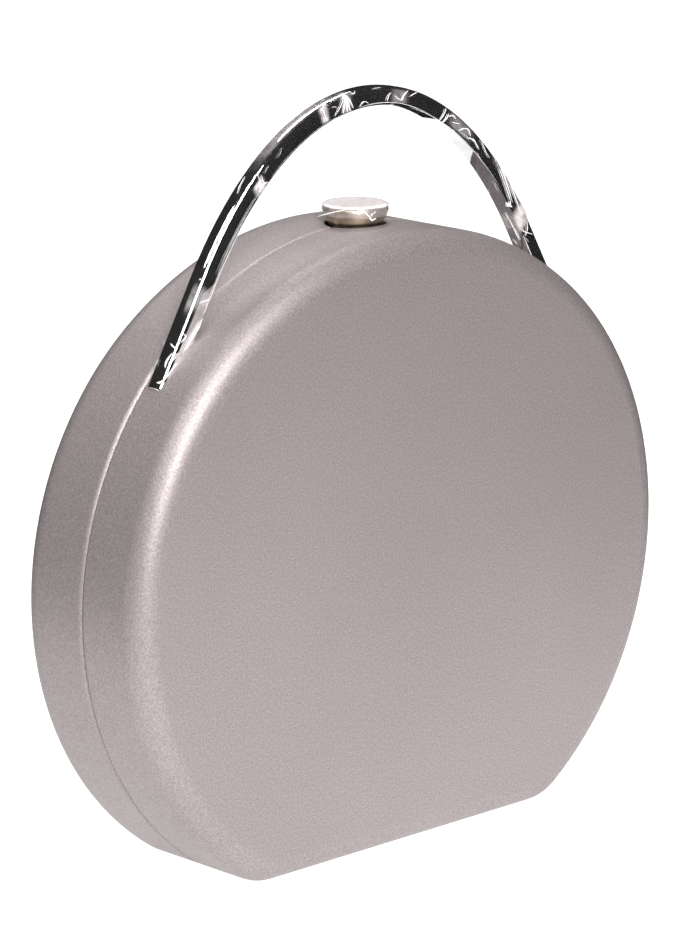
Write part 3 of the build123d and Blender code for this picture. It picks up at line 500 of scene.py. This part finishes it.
def film_folds():
    """The drawn creases of the sleeve, and finer random ones between them."""
    picks = random.Random(FOLD_SEED)
    folds = list(FOLDS)
    for _ in range(RANDOM_FOLDS):
        station, p = picks.uniform(26, 154), picks.uniform(0, GIRTH)
        reach, slant = picks.uniform(0.8, 3.0), picks.uniform(-1.2, 1.2)
        middle = (station + reach / 2, p + slant / 2 + picks.uniform(-0.3, 0.3))
        folds.append((picks.uniform(0.06, 0.12), (station, p), middle, (station + reach, p + slant)))
    lines = []
    for width, *corners in folds:
        line = [on_bar(station, p, sleeve_lift(station, p, on_bar(station, p, 0.0))) * MM
                for station, p in smooth_line(corners, FOLD_STEPS)]
        lines.append((width * MM, line))
    return grow_folds("handle_film_folds", lines, "front_half")


sleeve = film_sleeve()
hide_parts("handle_film")
film_folds()

# ---------------------------------------------------------------- film cap on the knob
KNOB_Y = -0.9
KNOB_TOP = 178.1
CAP_TURNS = 120
# Radius and height below the knob's top, from the middle of the cap down its loose skirt.
CAP_PROFILE = [
    (0.0, 0.14), (2.5, 0.14), (5.0, 0.14), (7.0, 0.15), (8.0, 0.16), (8.5, 0.12),
    (8.9, -0.1), (9.2, -0.5), (9.45, -1.0), (9.6, -1.6), (9.7, -2.2), (9.75, -2.8),
]
CAP_SKIRT = 5  # rings from here on hang loose
CAP_WALL = 0.05
CAP_HAZE = 1.8  # the film is wound double over the top
HAZY_SKIRT_RINGS = 2  # rings of the skirt that the double film still covers
VIEW_TURN = math.radians(-134.0)  # the side of the knob that the folds below are counted from


def cap_point(turn, radius, height):
    """A point of the cap, in mm, from its turn in radians, radius and height below the knob's top."""
    angle = VIEW_TURN + turn
    return Vector((radius * math.cos(angle), KNOB_Y + radius * math.sin(angle), KNOB_TOP + height))


def film_cap():
    """A round of film over the knob, with a ruffled skirt that hangs loose."""
    outer, inner, haze = [], [], []
    for ring, (radius, height) in enumerate(CAP_PROFILE[1:], 1):
        loose = max(0, ring - CAP_SKIRT) / (len(CAP_PROFILE) - CAP_SKIRT)
        for k in range(CAP_TURNS):
            turn = 2 * math.pi * k / CAP_TURNS
            wave = Vector((math.cos(turn), math.sin(turn), 0.3 * ring)) * 2.3
            ruffle = loose * (0.45 * noise.noise(wave) + 0.3 * noise.noise(wave * 2.7))
            drop = loose * 0.7 * noise.noise(wave * 1.4 + Vector((5, 5, 5)))
            outer.append(cap_point(turn, radius + ruffle, height + drop) * MM)
            hung = CAP_WALL if ring > CAP_SKIRT else 0.0
            inner.append(cap_point(turn, radius + ruffle - hung, height + drop - CAP_WALL) * MM)
            haze.append(CAP_HAZE if ring < CAP_SKIRT + HAZY_SKIRT_RINGS else 0.16 - 0.1 * loose)
    points = [cap_point(0, 0, CAP_PROFILE[0][1]) * MM] + outer
    offset = len(points)
    points += [cap_point(0, 0, CAP_PROFILE[0][1] - CAP_WALL) * MM] + inner
    faces = []
    rings = len(CAP_PROFILE) - 1
    for k in range(CAP_TURNS):
        n = (k + 1) % CAP_TURNS
        faces.append((0, 1 + k, 1 + n))
        faces.append((offset, offset + 1 + n, offset + 1 + k))
        for row in range(rings - 1):
            a, b = 1 + row * CAP_TURNS + k, 1 + row * CAP_TURNS + n
            faces.append((a, a + CAP_TURNS, b + CAP_TURNS, b))
            faces.append((a + offset, b + offset, b + offset + CAP_TURNS, a + offset + CAP_TURNS))
        a, b = 1 + (rings - 1) * CAP_TURNS + k, 1 + (rings - 1) * CAP_TURNS + n
        faces.append((b, a, a + offset, b + offset))
    haze = [CAP_HAZE] + haze
    return film_sheet("knob_film_cap", points, faces, haze + haze, "knob")


# Folds of the cap: width, then turn in degrees, radius and height of each point.
CAP_FOLDS = [
    (0.36, (-88, 10.4, -3.9), (-62, 9.9, -2.6), (-33, 9.6, -1.1), (-7, 9.4, 0.0)),
    (0.5, (-3, 9.3, -0.1), (11, 9.5, -0.7), (19, 9.7, -1.6), (25, 9.8, -2.7)),
    (0.6, (23, 9.8, -2.4), (26, 9.9, -3.2), (29.5, 9.9, -3.4)),
    (0.4, (27, 9.9, -3.5), (31, 9.9, -3.1), (35, 9.9, -2.9)),
    (0.3, (26, 9.8, -2.4), (28, 9.7, -1.8), (30, 9.7, -1.4)),
    (0.2, (31, 9.7, -1.6), (33, 9.7, -1.3), (34, 9.6, -0.9)),
    (0.2, (70, 9.3, 0.0), (78, 9.7, -0.6), (84, 9.9, -1.2)),
]


def cap_folds():
    """The drawn creases of the cap."""
    lines = []
    for width, *corners in CAP_FOLDS:
        line = [cap_point(math.radians(turn), radius, height) * MM
                for turn, radius, height in smooth_line(corners, FOLD_STEPS)]
        lines.append((width * MM, line))
    return grow_folds("knob_film_folds", lines, "knob")


cap = film_cap()
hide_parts("knob_film")
cap_folds()

# ---------------------------------------------------------------- floor, light and camera
PAPER = new_material("white_paper", Roughness=0.9, **{
    "Base Color": linear("#A0A0A0"), "Emission Color": linear("#FFFFFF"), "Emission Strength": 1.0})[0]


def floor_disc(name, radius, height, mirrored):
    """A round of white paper; only the one under the case lights it and shows in its gloss."""
    rim = [(radius * math.cos(math.radians(a)), radius * math.sin(math.radians(a)), height)
           for a in range(0, 360, 5)]
    mesh = bpy.data.meshes.new(name)
    mesh.from_pydata(rim, [], [tuple(range(len(rim)))])
    mesh.materials.append(PAPER)
    disc = bpy.data.objects.new(name, mesh)
    bpy.context.collection.objects.link(disc)
    disc.visible_glossy = mirrored
    disc.visible_diffuse = mirrored


floor_disc("floor", 0.36, 0.0, True)
floor_disc("floor_beyond", 8.0, -0.0002, False)

world = bpy.data.worlds.new("studio")
bpy.context.scene.world = world
world.use_nodes = True
world.node_tree.nodes["Background"].inputs["Color"].default_value = linear("#FFFFFF")
world.node_tree.nodes["Background"].inputs["Strength"].default_value = 0.012

CAMERA_AZIMUTH = math.radians(-44.0)
CAMERA_ELEVATION = math.radians(13.5)
CAMERA_DISTANCE = 1.2
CAMERA_AIM = Vector((-2.0, -0.9, 104.2)) * MM
LENS_MM = 167.2
SENSOR_MM = 36
LAMP_AIM = Vector((0, 0, 0.1))


def look_from(azimuth, elevation):
    """The direction from the aim point towards a camera or lamp."""
    return Vector((math.sin(azimuth) * math.cos(elevation), -math.cos(azimuth) * math.cos(elevation),
                   math.sin(elevation)))


def softbox(name, azimuth, elevation, distance, width, height, power):
    """A rectangular studio lamp that points at the middle of the case."""
    lamp = bpy.data.lights.new(name, "AREA")
    lamp.shape = "RECTANGLE"
    lamp.size = width
    lamp.size_y = height
    lamp.energy = power
    holder = bpy.data.objects.new(name, lamp)
    bpy.context.collection.objects.link(holder)
    back = look_from(math.radians(azimuth), math.radians(elevation))
    holder.location = LAMP_AIM + back * distance
    holder.rotation_euler = back.to_track_quat("Z", "Y").to_euler()
    return holder


# Azimuth and elevation in degrees, distance and sizes in metres, power in watts.
softbox("tall_strip_in_front", -31, 35, 1.3, 0.3, 1.05, 29)
softbox("left_high", -84, 50, 1.5, 0.6, 0.4, 7)
softbox("back_overhead", 150, 62, 1.5, 0.9, 0.5, 11)

lens = bpy.data.cameras.new("camera")
lens.lens = LENS_MM
lens.sensor_width = SENSOR_MM
camera = bpy.data.objects.new("camera", lens)
bpy.context.collection.objects.link(camera)
back = look_from(CAMERA_AZIMUTH, CAMERA_ELEVATION)
camera.location = CAMERA_AIM + back * CAMERA_DISTANCE
camera.rotation_euler = back.to_track_quat("Z", "Y").to_euler()
lens.clip_start = 0.05
lens.clip_end = 30
bpy.context.scene.camera = camera
bpy.context.scene.view_settings.view_transform = "Standard"
